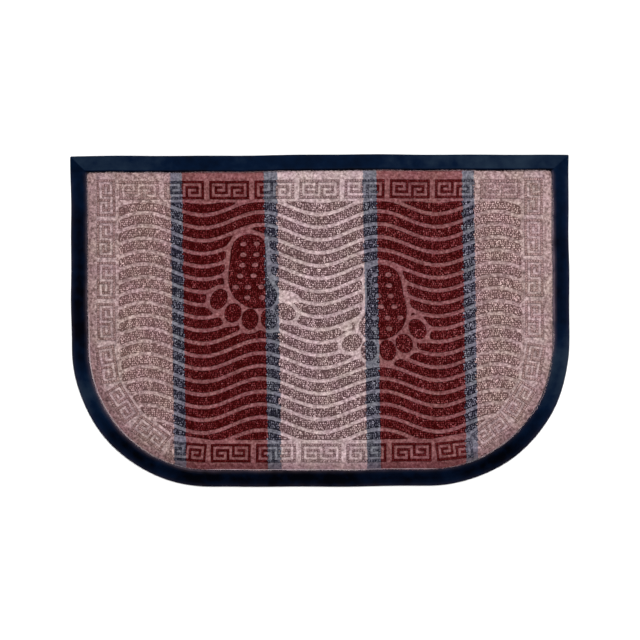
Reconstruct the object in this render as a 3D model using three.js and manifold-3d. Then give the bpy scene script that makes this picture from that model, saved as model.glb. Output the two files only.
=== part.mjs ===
// A rubber-backed doormat: a D-shaped moulded rubber tray with a carpet face bonded into it.
// Millimetres, +Z up. The origin is the bottom centre of the mat, +Y is its straight edge.

import * as THREE from 'three';
import { mergeVertices } from 'three/addons/utils/BufferGeometryUtils.js';
import Module from 'manifold-3d';

const wasm = await Module();
wasm.setup();

// Outline of the whole mat
const LENGTH = 600;
const WIDTH = 400;
const ROUND_RADIUS = 170;
const ROUND_X = LENGTH / 2 - ROUND_RADIUS;
const ROUND_Y = ROUND_RADIUS - WIDTH / 2;
const ROUND_STEPS = 16;
const SQUARE_STEPS = 3;

// Rubber tray: thickness of its sheet, and the section of its rim
const SHEET_T = 1.6;
const EDGE_T = 1.5;
const RIM_WIDTH = 20.5;
const EDGE_ROUND = 1.6;
const LIP_WIDTH = 2.6;
const LIP_FOOT_Z = 4.0;
const LIP_TOP_Z = 5.0;
const LIP_CHAMFER = 0.7;
const LIP_BASE_SLOPE = 0.3;

// Carpet face: the gap to the tray all round and below, the pressed level and the top of the pile.
// What is raised is rooted inside the slab, and what cuts it stands past its top.
const GAP = 0.3;
const CARPET_BOTTOM_Z = SHEET_T + GAP;
const PRESSED_Z = 4.0;
const PILE_Z = 5.8;
const ROOT_Z = CARPET_BOTTOM_Z + 0.6;
const CUT_TOP_Z = PILE_Z + 1;
const CARPET_CORNER = 4.3;

// Wave field: bounds, and the pressed channels between its ribs
const FIELD_HALF = 242;
const FIELD_TOP = 143.6;
const FIELD_BOTTOM = -143.6;
const WAVE_PITCH = 15.44;
const WAVE_LENGTH = 141.4;
const WAVE_HEIGHT = 9.4;
const WAVE_BASE = 121.96;
const CHANNEL = 4.6;
const FIRST_WAVE = -3;
const LAST_WAVE = 19;
const STEPS_PER_WAVE = 10;

// Key border: a unit is a raised block of square cells with one pressed line turning in it
const CELL = 3.2;
const SHORT_CELL = 2.95;
const UNIT_COLUMNS = 15;
const UNIT_ROWS = 7;
const KEY_LINE = [
  [3, 3], [5, 3], [5, 1], [1, 1], [1, 5], [7, 5], [7, 1], [13, 1], [13, 5], [9, 5], [9, 3], [11, 3],
];
const ROW_PITCH = 54.3;
const TOP_ROW_Y = 158.2;
const TOP_ROW_UNITS = 4;
const BOTTOM_ROW_Y = -159.2;
const BOTTOM_ROW_UNITS = 2;
const COLUMN_X = 257.5;
const COLUMN_PITCH = 49.5;
const COLUMN_TOP_Y = 149;
const COLUMN_UNITS = 4;
const CORNER_RADIUS = 128.5;
const CORNER_FIRST = 9.5;
const CORNER_PITCH = 22.3;
const CORNER_UNITS = 4;
const FIELD_CORNER_RADIUS = 116;

// Footprints: the left sole about its own centre, five toes, pressed dots, and the pressed surround
const SURROUND = 5.5;
const SOLE_STEPS = 36;
const TOE_STEPS = 16;
const DOT_STEPS = 8;
const DOT_RADII = [3.8, 2.8];
const LEFT_FOOT = [-84, 60];
const RIGHT_FOOT = [80, 22];
const RIGHT_LEAN = 0.07;
const LEAN_FROM = -50;
const SOLE = [
  [0, 45], [15, 39], [19, 24], [20, 0], [24, -14], [32, -28], [26, -42], [11, -45],
  [-4, -43], [-20, -31], [-26.5, -12], [-24.5, 10], [-22, 30], [-14, 41],
];
const TOES = [
  { at: [-38, -33], radii: [9.6, 12.6], turn: -28 },
  { at: [-21, -50], radii: [9.8, 11.4], turn: -18 },
  { at: [-0.5, -58], radii: [9.8, 12.2], turn: 0 },
  { at: [22, -58], radii: [9.2, 12], turn: 12 },
  { at: [42, -49], radii: [9, 12.8], turn: 60 },
];
const DOTS = [
  [-8, 33], [8, 33], [-8, 20], [8, 20], [-9, 7.5], [6, 7.5], [-12, -5.5], [4, -5.5],
  [-18, -19], [-3, -19], [13, -19], [-4, -32], [14, -32],
];

// Materials as read from the photograph
const RUBBER = { color: 0x101d30, roughness: 0.62, metalness: 0 };
const CARPET = { color: 0x6b3a40, roughness: 0.95, metalness: 0 };

const DEG = Math.PI / 180;
const MERGE_DISTANCE = 1e-4;
const group = new THREE.Group();

// Points of the mat's outline drawn in by inset, counterclockwise from the bottom right curve.
// Every inset has the same number of points, so two outlines can be joined one to one.
function outline(inset, squareRadius) {
  const squareX = LENGTH / 2 - inset - squareRadius;
  const squareY = WIDTH / 2 - inset - squareRadius;
  const roundRadius = ROUND_RADIUS - inset;
  const corners = [
    { x: ROUND_X, y: ROUND_Y, r: roundRadius, from: -90, steps: ROUND_STEPS },
    { x: squareX, y: squareY, r: squareRadius, from: 0, steps: SQUARE_STEPS },
    { x: -squareX, y: squareY, r: squareRadius, from: 90, steps: SQUARE_STEPS },
    { x: -ROUND_X, y: ROUND_Y, r: roundRadius, from: 180, steps: ROUND_STEPS },
  ];
  const points = [];
  for (const corner of corners) {
    for (let i = 0; i <= corner.steps; i += 1) {
      const angle = (corner.from + (90 * i) / corner.steps) * DEG;
      points.push(new THREE.Vector2(
        corner.x + corner.r * Math.cos(angle),
        corner.y + corner.r * Math.sin(angle),
      ));
    }
  }
  return points;
}

// A closed solid skinned over loops of equal length, capped flat at its first and last loop
function loft(loops) {
  const count = loops[0].points.length;
  const position = [];
  for (const loop of loops) {
    for (const point of loop.points) position.push(point.x, point.y, loop.z);
  }
  const index = [];
  for (let level = 0; level < loops.length - 1; level += 1) {
    for (let i = 0; i < count; i += 1) {
      const a = level * count + i;
      const b = level * count + ((i + 1) % count);
      index.push(a, b, b + count, a, b + count, a + count);
    }
  }
  const last = (loops.length - 1) * count;
  for (const [a, b, c] of THREE.ShapeUtils.triangulateShape(loops[0].points, [])) index.push(c, b, a);
  for (const [a, b, c] of THREE.ShapeUtils.triangulateShape(loops.at(-1).points, [])) {
    index.push(last + a, last + b, last + c);
  }
  const geometry = new THREE.BufferGeometry();
  geometry.setAttribute('position', new THREE.Float32BufferAttribute(position, 3));
  geometry.setIndex(index);
  geometry.computeVertexNormals();
  return geometry;
}

// The solid between two heights over a shape, or over a closed list of points
function prism(area, bottom, top) {
  const shape = Array.isArray(area) ? new THREE.Shape(area) : area;
  const geometry = new THREE.ExtrudeGeometry(shape, {
    depth: top - bottom,
    bevelEnabled: false,
  });
  geometry.translate(0, 0, bottom);
  return solid(geometry);
}

// A three.js geometry as a solid that can be joined and cut
function solid(geometry) {
  const bare = geometry.clone();
  bare.deleteAttribute('normal');
  bare.deleteAttribute('uv');
  const merged = mergeVertices(bare, MERGE_DISTANCE);
  return new wasm.Manifold(new wasm.Mesh({
    numProp: 3,
    vertProperties: merged.attributes.position.array,
    triVerts: merged.index.array,
  }));
}

// The joined solid back as a three.js geometry
function geometryOf(manifold) {
  const mesh = manifold.getMesh();
  const geometry = new THREE.BufferGeometry();
  geometry.setAttribute('position', new THREE.Float32BufferAttribute(mesh.vertProperties, 3));
  geometry.setIndex([...mesh.triVerts]);
  geometry.computeVertexNormals();
  return geometry;
}

function addAll(solids) {
  return solids.reduce((sum, next) => sum.add(next));
}

function addMesh(name, geometry, material) {
  const mesh = new THREE.Mesh(geometry, new THREE.MeshStandardMaterial(material));
  mesh.name = name;
  group.add(mesh);
}

// A point drawn about an origin, turned by degrees and moved to a centre
function placed(x, y, centre, degrees) {
  const cos = Math.cos(degrees * DEG);
  const sin = Math.sin(degrees * DEG);
  return new THREE.Vector2(centre[0] + x * cos - y * sin, centre[1] + x * sin + y * cos);
}

// Rubber tray

function rubberTray() {
  return loft([
    { points: outline(0, EDGE_ROUND), z: 0 },
    { points: outline(0, EDGE_ROUND), z: EDGE_T },
    { points: outline(RIM_WIDTH - LIP_WIDTH, EDGE_ROUND), z: LIP_FOOT_Z },
    { points: outline(RIM_WIDTH - LIP_WIDTH + LIP_CHAMFER, EDGE_ROUND), z: LIP_TOP_Z },
    { points: outline(RIM_WIDTH - LIP_CHAMFER, CARPET_CORNER), z: LIP_TOP_Z },
    { points: outline(RIM_WIDTH - LIP_BASE_SLOPE, CARPET_CORNER), z: LIP_FOOT_Z },
    { points: outline(RIM_WIDTH, CARPET_CORNER), z: SHEET_T },
  ]);
}

// Wave field

// Height on the mat of the middle of a pressed channel
function waveY(x, wave) {
  return WAVE_BASE - WAVE_PITCH * wave - WAVE_HEIGHT * Math.cos((2 * Math.PI * x) / WAVE_LENGTH);
}

// One rib of pile between two channels, drawn a little past both ends of the field
function ripple(wave) {
  const upper = [];
  const lower = [];
  const half = Math.ceil((FIELD_HALF * STEPS_PER_WAVE) / WAVE_LENGTH);
  for (let i = -half; i <= half; i += 1) {
    const x = (WAVE_LENGTH * i) / STEPS_PER_WAVE;
    upper.unshift(new THREE.Vector2(x, waveY(x, wave) - CHANNEL / 2));
    lower.push(new THREE.Vector2(x, waveY(x, wave + 1) + CHANNEL / 2));
  }
  return prism([...lower, ...upper], ROOT_Z, PILE_Z);
}

// The field is straight above and follows the corner units of the border below
function fieldOutline() {
  const right = [new THREE.Vector2(FIELD_HALF, FIELD_TOP)];
  for (let i = 0; i < CORNER_UNITS; i += 1) {
    const angle = -(CORNER_FIRST + CORNER_PITCH * (i - 0.5)) * DEG;
    right.push(new THREE.Vector2(
      Math.min(FIELD_HALF, ROUND_X + FIELD_CORNER_RADIUS * Math.cos(angle)),
      ROUND_Y + FIELD_CORNER_RADIUS * Math.sin(angle),
    ));
  }
  right.push(new THREE.Vector2(ROUND_X, FIELD_BOTTOM));
  const left = right.map((point) => new THREE.Vector2(-point.x, point.y)).reverse();
  return [...left, ...right].reverse();
}

// Key border

// The closed outline of a square-ended line, half wide to each side of its points
function band(line, half) {
  const steps = line.slice(1).map((point, i) => point.clone().sub(line[i]).normalize());
  const left = [];
  const right = [];
  line.forEach((point, i) => {
    const into = steps[i - 1] ?? new THREE.Vector2();
    const out = steps[i] ?? new THREE.Vector2();
    const across = new THREE.Vector2(-into.y - out.y, into.x + out.x);
    const isBend = i > 0 && i < steps.length;
    const beyond = isBend ? new THREE.Vector2() : into.clone().sub(out);
    left.push(point.clone().addScaledVector(beyond, half).addScaledVector(across, half));
    right.unshift(point.clone().addScaledVector(beyond, half).addScaledVector(across, -half));
  });
  return [...left, ...right];
}

// One unit of the border: a raised block with the pressed line cut through it down to the slab.
// A flipped unit is the mirror image, top to bottom, as along the mat's lower edge.
function keyUnit(centre, degrees, cell, flip) {
  const side = flip ? -1 : 1;
  const onMat = (point) => placed(
    (point.x - UNIT_COLUMNS / 2) * cell,
    side * (UNIT_ROWS / 2 - point.y) * CELL,
    centre,
    degrees,
  );
  const corners = [[0, 0], [UNIT_COLUMNS, 0], [UNIT_COLUMNS, UNIT_ROWS], [0, UNIT_ROWS]];
  const block = new THREE.Shape(corners.map(([x, y]) => onMat(new THREE.Vector2(x, y))));
  const line = KEY_LINE.map(([column, row]) => new THREE.Vector2(column + 0.5, row + 0.5));
  block.holes.push(new THREE.Path(band(line, 0.5).map(onMat)));
  return prism(block, ROOT_Z, PILE_Z);
}

function keyBorder() {
  const units = [];
  for (let i = -TOP_ROW_UNITS; i <= TOP_ROW_UNITS; i += 1) {
    units.push(keyUnit([i * ROW_PITCH, TOP_ROW_Y], 0, CELL, false));
  }
  for (let i = -BOTTOM_ROW_UNITS; i <= BOTTOM_ROW_UNITS; i += 1) {
    units.push(keyUnit([i * ROW_PITCH, BOTTOM_ROW_Y], 0, CELL, true));
  }
  for (const side of [-1, 1]) {
    for (let i = 0; i < COLUMN_UNITS; i += 1) {
      const centre = [side * COLUMN_X, COLUMN_TOP_Y - COLUMN_PITCH * i];
      units.push(keyUnit(centre, -90 * side, SHORT_CELL, false));
    }
    for (let i = 0; i < CORNER_UNITS; i += 1) {
      const angle = CORNER_FIRST + CORNER_PITCH * i;
      const centre = [
        side * (ROUND_X + CORNER_RADIUS * Math.cos(angle * DEG)),
        ROUND_Y - CORNER_RADIUS * Math.sin(angle * DEG),
      ];
      units.push(keyUnit(centre, side * (-90 - angle), SHORT_CELL, false));
    }
  }
  return units;
}

// Footprints

function ellipse(radii, steps, centre, degrees) {
  const points = [];
  for (let i = 0; i < steps; i += 1) {
    const angle = (2 * Math.PI * i) / steps;
    points.push(placed(radii[0] * Math.cos(angle), radii[1] * Math.sin(angle), centre, degrees));
  }
  return points;
}

// A smooth closed line through the sole's points, moved out by margin along its own normal
function soleOutline(margin) {
  const curve = new THREE.CatmullRomCurve3(SOLE.map(([x, y]) => new THREE.Vector3(x, y, 0)), true);
  const points = [];
  for (let i = 0; i < SOLE_STEPS; i += 1) {
    const at = curve.getPointAt(i / SOLE_STEPS);
    const along = curve.getTangentAt(i / SOLE_STEPS);
    points.push(new THREE.Vector2(at.x - along.y * margin, at.y + along.x * margin));
  }
  return points.reverse();
}

// Both feet come from the left one: the right is its mirror image, side = -1. A foot that leans has
// its heel drawn over towards the middle of the mat, and its toes stay where they are.
function foot(centre, side, lean) {
  const onMat = (points) => {
    const moved = points.map((p) => new THREE.Vector2(
      centre[0] + side * (p.x + lean * (p.y - LEAN_FROM)),
      centre[1] + p.y,
    ));
    return side < 0 ? moved.reverse() : moved;
  };
  const surrounds = [prism(onMat(soleOutline(SURROUND)), PRESSED_Z, CUT_TOP_Z)];
  const toes = [];
  for (const toe of TOES) {
    const wide = toe.radii.map((radius) => radius + SURROUND);
    surrounds.push(prism(onMat(ellipse(wide, TOE_STEPS, toe.at, toe.turn)), PRESSED_Z, CUT_TOP_Z));
    toes.push(prism(onMat(ellipse(toe.radii, TOE_STEPS, toe.at, toe.turn)), ROOT_Z, PILE_Z));
  }
  const dots = DOTS.map((at) => prism(onMat(ellipse(DOT_RADII, DOT_STEPS, at, 0)), PRESSED_Z, CUT_TOP_Z));
  const sole = prism(onMat(soleOutline(0)), ROOT_Z, PILE_Z).subtract(addAll(dots));
  return { clearing: addAll(surrounds), raised: addAll([sole, ...toes]) };
}

// Carpet face

function carpetFace() {
  const slab = prism(outline(RIM_WIDTH + GAP, CARPET_CORNER), CARPET_BOTTOM_Z, PRESSED_Z);
  const waves = [];
  for (let wave = FIRST_WAVE; wave < LAST_WAVE; wave += 1) waves.push(ripple(wave));
  const field = prism(fieldOutline(), CARPET_BOTTOM_Z, CUT_TOP_Z);
  const left = foot(LEFT_FOOT, 1, 0);
  const right = foot(RIGHT_FOOT, -1, RIGHT_LEAN);
  const ribs = addAll(waves).intersect(field).subtract(left.clearing).subtract(right.clearing);
  return addAll([slab, ribs, left.raised, right.raised, ...keyBorder()]);
}

addMesh('rubber_tray', rubberTray(), RUBBER);
addMesh('carpet_face', geometryOf(carpetFace()), CARPET);

export default group;
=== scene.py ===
from math import cos, pi, radians, sin, tau

import bmesh
import bpy
import numpy as np
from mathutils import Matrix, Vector


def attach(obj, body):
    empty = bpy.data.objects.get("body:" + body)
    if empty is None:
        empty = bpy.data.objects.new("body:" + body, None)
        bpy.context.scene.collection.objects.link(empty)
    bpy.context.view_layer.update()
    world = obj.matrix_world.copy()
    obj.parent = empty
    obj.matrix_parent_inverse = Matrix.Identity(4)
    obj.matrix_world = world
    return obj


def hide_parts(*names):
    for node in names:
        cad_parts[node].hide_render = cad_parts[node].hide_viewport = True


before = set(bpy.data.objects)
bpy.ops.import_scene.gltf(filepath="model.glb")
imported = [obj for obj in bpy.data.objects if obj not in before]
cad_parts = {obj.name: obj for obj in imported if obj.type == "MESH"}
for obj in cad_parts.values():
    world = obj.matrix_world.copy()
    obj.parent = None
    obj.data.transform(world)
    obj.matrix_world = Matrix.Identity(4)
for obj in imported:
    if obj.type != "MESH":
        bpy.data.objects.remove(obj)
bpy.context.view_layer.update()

# A rubber-backed doormat, worked out in millimetres and written to the meshes in metres.
MM = 0.001
rng = np.random.default_rng(41)

# Outline of the mat: straight edge with square corners at +Y, two round corners at -Y
LENGTH = 600.0
WIDTH = 400.0
ROUND_RADIUS = 170.0
ROUND_X = LENGTH / 2 - ROUND_RADIUS
ROUND_Y = ROUND_RADIUS - WIDTH / 2
ROUND_STEPS = 40
SQUARE_STEPS = 5
EDGE_STEPS = 24

# Rubber rim and the carpet that lies in it: sizes seen from above, then heights over the floor
RIM_WIDTH = 20.5
GAP = 0.3
CARPET_INSET = RIM_WIDTH + GAP
CARPET_CORNER = 4.3
SHEET_TOP = 1.6
CARPET_BOTTOM = SHEET_TOP + GAP
PRESSED = 4.0
PILE_FOOT = 4.6
PILE_TOP = 5.8

# Wave field: ribs of pile between pressed channels, each a cosine along X
FIELD_HALF = 242.0
FIELD_TOP = 143.6
FIELD_BOTTOM = -143.6
FIELD_CORNER_RADIUS = 116.0
WAVE_PITCH = 15.44
WAVE_LENGTH = 141.4
WAVE_HEIGHT = 9.4
WAVE_BASE = 121.96
CHANNEL = 4.6

# Key border: one unit is a pressed line through a block of cells. The line's bends are given as
# column and row.
CELL = 3.2
SHORT_CELL = 2.95
UNIT_COLUMNS = 15
UNIT_ROWS = 7
KEY_LINE = [
    (3, 3), (5, 3), (5, 1), (1, 1), (1, 5), (7, 5),
    (7, 1), (13, 1), (13, 5), (9, 5), (9, 3), (11, 3),
]
ROW_PITCH = 54.3
TOP_ROW_Y = 158.2
BOTTOM_ROW_Y = -159.2
COLUMN_X = 257.5
COLUMN_PITCH = 49.5
COLUMN_TOP_Y = 149.0
CORNER_RADIUS = 128.5
CORNER_FIRST = 9.5
CORNER_PITCH = 22.3
SIDE_UNITS = 4
FRONT_CORNER_TURN = 84.0
FRONT_CORNER_DROP = 2.0

# Footprints, from the middle of each foot: the sole's outline, each toe as centre, radii and turn
# in degrees, the round dots pressed into the sole, and the bare patch by the little toe. The right
# foot is the left one mirrored, and its heel leans in.
SURROUND = 5.5
TOE_SPREAD = 0.4
LEFT_FOOT = (-84.0, 60.0)
RIGHT_FOOT = (80.0, 22.0)
RIGHT_LEAN = 0.07
LEAN_FROM = -50.0
FOOT_REACH = (75, 90)
SOLE = [
    (0, 45), (15, 39), (19, 24), (20, 0), (24, -14), (32, -28), (26, -42), (11, -45),
    (-4, -43), (-20, -31), (-26.5, -12), (-24.5, 10), (-22, 30), (-14, 41),
]
TOES = [
    ((-38, -33), (9.6, 12.6), -28), ((-21, -50), (9.8, 11.4), -18), ((-0.5, -58), (9.8, 12.2), 0),
    ((22, -58), (9.2, 12), 12), ((42, -49), (9, 12.8), 60),
]
DOTS = [
    (-8, 33), (8, 33), (-8, 20), (8, 20), (-9, 7.5), (6, 7.5), (-12, -5.5), (4, -5.5),
    (-18, -19), (-3, -19), (13, -19), (-4, -32), (14, -32),
]
DOT_RADII = (3.8, 2.8)
BARE_AT = (47, -31)
BARE_TURN = -15
BARE_RADII = {1: (12.5, 7), -1: (8, 4)}

# Stripes from left to right: yarn, and where it ends along X. They lean a little on the mat.
STRIPES = [
    ("rose", -178.6), ("blue", -164.2), ("maroon", -66.0), ("blue", -51.1), ("pink", 53.0),
    ("blue", 70.1), ("maroon", 172.3), ("blue", 187.2), ("rose", LENGTH / 2),
]
STRIPE_LEAN = radians(0.5)
STRIPE_RAGGED = 0.7

# Each yarn is one cast of colour over levels of grey, all on a scale of 0 to 255: a painted shadow
# for the gaps between loops, four tones of loop from dark to light, the carpet pressed flat, its dark
# and light flecks, and the share of the cast that it shows there. Lift is how much lighter the loops
# of the key border are, as a share of the tones.
YARNS = {
    "rose": {"cast": (20, -9, -10), "gap": 70, "loops": (101, 144, 167, 190), "pressed": 128,
             "flecks": (78, 166), "pressed_cast": 0.8, "lift": -0.03},
    "pink": {"cast": (17, -9, -7), "gap": 62, "loops": (86, 140, 171, 203), "pressed": 148,
             "flecks": (112, 178), "pressed_cast": 0.8, "lift": 0.04},
    "blue": {"cast": (-2, -4, 9), "gap": 20, "loops": (36, 86, 120, 154), "pressed": 101,
             "flecks": (70, 122), "pressed_cast": 0.8, "lift": 0.0},
    "maroon": {"cast": (42, -23, -20), "gap": 13, "loops": (14, 47, 70, 97), "pressed": 84,
               "flecks": (60, 109), "pressed_cast": 0.66, "lift": -0.08},
}
TONE_PLACES = (0.0, 0.4, 0.8, 1.0)

# Other colours, 0 to 255 a channel. The falloff shade is painted shade: it darkens the carpet under
# it where the light falls off.
CUT_EDGE = (208, 192, 200)
FALLOFF_SHADE = (196, 180, 184)
RUBBER = (0, 1, 5)
RUBBER_NAVY = (3, 15, 35)
# The rim's lightest colour is a painted sheen, the light that its slopes catch
RUBBER_SHEEN = (27, 39, 53)
# The lip's colour is a painted highlight, and also the colour of the rim's scuffed foot
LIP_HIGHLIGHT_AND_SCUFF = (92, 77, 87)
FLOOR = (250, 250, 250)


def linear(colour):
    """A colour of 0 to 255 a channel, as the linear values that a shader takes."""
    parts = [c / 255 for c in colour]
    return [p / 12.92 if p <= 0.04045 else ((p + 0.055) / 1.055) ** 2.4 for p in parts] + [1.0]


def yarn_colour(yarn, level, share=1.0):
    """A level of grey with a share of the yarn's cast."""
    return linear([max(0, level + share * part) for part in YARNS[yarn]["cast"]])


def fade(value, start, full):
    """The share from 0 to 1 that a value has gone from start to full."""
    return np.clip((value - start) / (full - start), 0, 1)


def bell(value, middle, reach):
    """A share of 1 at the middle that dies away on both sides within about twice the reach."""
    return np.exp(-(((value - middle) / reach) ** 2))


# Camera and lights

# Places and sizes of lights are in metres, the view and the sensor in mm. The mat's length in
# pixels of the photograph sets how wide the view is.
PHOTO_PIXELS = 640
MAT_PIXELS = 498.6
FIELD_OF_VIEW = LENGTH * PHOTO_PIXELS / MAT_PIXELS
CAMERA_HEIGHT = 2.6
CAMERA_PLACE = (-0.0004, 0.0008, CAMERA_HEIGHT)
SENSOR = 36.0
PHOTO_ROLL = radians(-0.36)

SKY_STRENGTH = 0.22
FLOOR_HALF = 4

# Each light has a name, a place, a size and a power in watts
LIGHTS = [
    ("key_light", (0.25, 2.1, 1.9), 0.9, 74),
    ("left_light", (-2.3, -0.5, 1.9), 1.2, 34),
    ("right_light", (2.3, -0.5, 1.9), 1.2, 34),
    ("front_light", (0.0, -2.4, 1.7), 1.4, 26),
]


def add_camera():
    camera = bpy.data.cameras.new("camera")
    camera.sensor_width = SENSOR
    camera.lens = SENSOR * (CAMERA_HEIGHT - PILE_TOP * MM) / (FIELD_OF_VIEW * MM)
    eye = bpy.data.objects.new("camera", camera)
    eye.location = CAMERA_PLACE
    eye.rotation_euler = (0, 0, PHOTO_ROLL)
    bpy.context.collection.objects.link(eye)
    bpy.context.scene.camera = eye


def add_area_light(name, place, size, power):
    """A square soft light that faces the middle of the mat."""
    lamp = bpy.data.lights.new(name, "AREA")
    lamp.size = size
    lamp.energy = power
    holder = bpy.data.objects.new(name, lamp)
    holder.location = place
    holder.rotation_euler = Vector(place).to_track_quat("Z", "Y").to_euler()
    bpy.context.collection.objects.link(holder)


def add_floor():
    paint, _, shader = new_material("floor_paint")
    shader.inputs["Base Color"].default_value = linear(FLOOR)
    shader.inputs["Roughness"].default_value = 0.8
    bm = bmesh.new()
    bmesh.ops.create_grid(bm, x_segments=1, y_segments=1, size=FLOOR_HALF)
    floor_mesh = bpy.data.meshes.new("floor")
    bm.to_mesh(floor_mesh)
    bm.free()
    floor_mesh.materials.append(paint)
    floor = bpy.data.objects.new("floor", floor_mesh)
    bpy.context.collection.objects.link(floor)


def add_studio():
    scene = bpy.context.scene
    scene.view_settings.view_transform = "Standard"
    world = bpy.data.worlds.new("studio")
    scene.world = world
    world.use_nodes = True
    sky = world.node_tree.nodes["Background"]
    sky.inputs["Color"].default_value = (1, 1, 1, 1)
    sky.inputs["Strength"].default_value = SKY_STRENGTH
    for light in LIGHTS:
        add_area_light(*light)
    add_floor()


# Shader nodes

# Where most of a noise lies, and the sockets of a Mix node that is set to colours
NOISE_LOW = 0.3
NOISE_HIGH = 0.7
MIX_FACTOR, MIX_FIRST, MIX_SECOND, MIX_RESULT = 0, 6, 7, 2


def new_material(name):
    """A material, with its node tree and its main shader."""
    material = bpy.data.materials.new(name)
    material.use_nodes = True
    tree = material.node_tree
    return material, tree, tree.nodes["Principled BSDF"]


def make_group(name, outputs):
    """A node group that takes a place and puts out colours and values."""
    group = bpy.data.node_groups.new(name, "ShaderNodeTree")
    group.interface.new_socket("Vector", in_out="INPUT", socket_type="NodeSocketVector")
    for label, kind in outputs:
        group.interface.new_socket(label, in_out="OUTPUT", socket_type=kind)
    inlet = group.nodes.new("NodeGroupInput")
    return group, inlet.outputs["Vector"], group.nodes.new("NodeGroupOutput")


def use_group(tree, group, place):
    node = tree.nodes.new("ShaderNodeGroup")
    node.node_tree = group
    tree.links.new(place, node.inputs["Vector"])
    return node


def object_place(tree):
    return tree.nodes.new("ShaderNodeTexCoord").outputs["Object"]


def attribute(tree, name):
    """The value that the mesh carries under this name."""
    node = tree.nodes.new("ShaderNodeAttribute")
    node.attribute_name = name
    return node.outputs["Fac"]


def set_or_link(tree, socket, value):
    """Puts a plain number or colour on a socket, or links another node's output to it."""
    if isinstance(value, (int, float, list)):
        socket.default_value = value
    else:
        tree.links.new(value, socket)


def map_range(tree, value, start, end, low=0.0, high=1.0):
    """Maps start..end to low..high, cut off at both."""
    node = tree.nodes.new("ShaderNodeMapRange")
    node.inputs["From Min"].default_value = start
    node.inputs["From Max"].default_value = end
    node.inputs["To Min"].default_value = low
    node.inputs["To Max"].default_value = high
    tree.links.new(value, node.inputs["Value"])
    return node.outputs["Result"]


def spread(tree, value, low, high):
    """Maps the middle of a noise to low..high."""
    return map_range(tree, value, NOISE_LOW, NOISE_HIGH, low, high)


def noise(tree, place, scale, detail=2.0, roughness=0.5):
    node = tree.nodes.new("ShaderNodeTexNoise")
    node.inputs["Scale"].default_value = scale
    node.inputs["Detail"].default_value = detail
    node.inputs["Roughness"].default_value = roughness
    tree.links.new(place, node.inputs["Vector"])
    return node.outputs["Fac"]


def math_node(tree, operation, first, second, clamp=False):
    node = tree.nodes.new("ShaderNodeMath")
    node.operation = operation
    node.use_clamp = clamp
    set_or_link(tree, node.inputs[0], first)
    set_or_link(tree, node.inputs[1], second)
    return node.outputs[0]


def mix_colours(tree, factor, first, second, blend="MIX"):
    node = tree.nodes.new("ShaderNodeMix")
    node.data_type = "RGBA"
    node.blend_type = blend
    set_or_link(tree, node.inputs[MIX_FACTOR], factor)
    set_or_link(tree, node.inputs[MIX_FIRST], first)
    set_or_link(tree, node.inputs[MIX_SECOND], second)
    return node.outputs[MIX_RESULT]


def colour_ramp(tree, value, stops, interpolation="LINEAR"):
    """Colours a value by a ramp of (place, colour) stops."""
    node = tree.nodes.new("ShaderNodeValToRGB")
    node.color_ramp.interpolation = interpolation
    elements = node.color_ramp.elements
    while len(elements) < len(stops):
        elements.new(0.5)
    for element, (place, colour) in zip(elements, stops):
        element.position = place
        element.color = colour
    tree.links.new(value, node.inputs["Fac"])
    return node.outputs["Color"]


def add_bump(tree, height, distance, strength):
    """Fine relief on the material's surface, its distance in mm."""
    bump = tree.nodes.new("ShaderNodeBump")
    bump.inputs["Distance"].default_value = distance * MM
    bump.inputs["Strength"].default_value = strength
    tree.links.new(height, bump.inputs["Height"])
    tree.links.new(bump.outputs["Normal"], tree.nodes["Principled BSDF"].inputs["Normal"])


# Groups that the carpet's materials use

# How far each size of fibre darkens and lightens the yarn, and its drift between two hues
STRAND_SHADE = (0.76, 1.24)
TUFT_SHADE = (0.86, 1.14)
PATCH_SHADE = (0.93, 1.07)
HUE_PINK = [1.02, 0.965, 1.02, 1.0]
HUE_YELLOW = [1.0, 1.035, 0.965, 1.0]

STRIPE_OUTPUTS = {
    "Pressed": lambda yarn: yarn["pressed"],
    "Dark Fleck": lambda yarn: yarn["flecks"][0],
    "Light Fleck": lambda yarn: yarn["flecks"][1],
    # The darkest colour is painted shadow, where the loops would shade the sheet between them
    "Gap Shadow": lambda yarn: yarn["gap"],
}


def fibre_group():
    """Fine tangled fibre: a height for bump, a shade, and masks of dark and light flecks."""
    group, place, outlet = make_group("fibre", [
        ("Height", "NodeSocketFloat"),
        ("Shade", "NodeSocketColor"),
        ("Dark Flecks", "NodeSocketFloat"),
        ("Light Flecks", "NodeSocketFloat"),
    ])
    strands = noise(group, place, scale=620, detail=3, roughness=0.65)
    tufts = noise(group, place, scale=210)
    patches = noise(group, place, scale=22, detail=1)
    grains = noise(group, place, scale=340, detail=1.5, roughness=0.7)
    drift = spread(group, noise(group, place, scale=40), 0.0, 1.0)
    shade = spread(group, strands, *STRAND_SHADE)
    shade = math_node(group, "MULTIPLY", shade, spread(group, tufts, *TUFT_SHADE))
    shade = math_node(group, "MULTIPLY", shade, spread(group, patches, *PATCH_SHADE))
    grey = group.nodes.new("ShaderNodeCombineColor")
    for socket in grey.inputs:
        group.links.new(shade, socket)
    hue = mix_colours(group, drift, HUE_PINK, HUE_YELLOW)
    outputs = {
        "Height": math_node(group, "ADD", strands, tufts),
        "Shade": mix_colours(group, 1.0, grey.outputs[0], hue, "MULTIPLY"),
        "Dark Flecks": math_node(group, "MAXIMUM", spread(group, grains, 1.0, -1.0), 0.0),
        "Light Flecks": math_node(group, "MAXIMUM", spread(group, grains, -1.0, 1.0), 0.0),
    }
    for label, value in outputs.items():
        group.links.new(value, outlet.inputs[label])
    return group


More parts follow.
